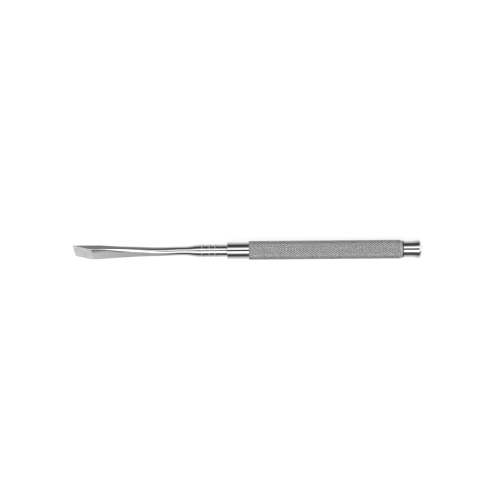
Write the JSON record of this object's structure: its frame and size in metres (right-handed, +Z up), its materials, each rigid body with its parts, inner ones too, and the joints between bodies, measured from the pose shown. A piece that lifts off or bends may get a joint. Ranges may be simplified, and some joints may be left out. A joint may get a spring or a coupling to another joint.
{
  "type": "bone chisel",
  "caption": "Surgical bone chisel with a skew single-bevel blade on a slim round shank, set in a round knurled handle with a plain collar and a flared, domed striking head.",
  "frame": {"origin": "middle of the tool's length, on the surface that its grip lies on, under the tool's axis", "axes": "+X from the cutting edge to the striking head, +Z up, through the face that carries the bevel, +Y towards the leading corner of the edge"},
  "size_m": [0.1748, 0.0094, 0.0095],
  "materials": {
    "blade_and_shank": "stainless steel, satin ground on the blade and polished on the shank",
    "handle": "stainless steel, polished on the collar, neck and head, satin on the knurled grip"
  },
  "bodies": {
    "root": {"blade_and_shank": "blade_and_shank", "handle": "handle"}
  },
  "joints": []
}
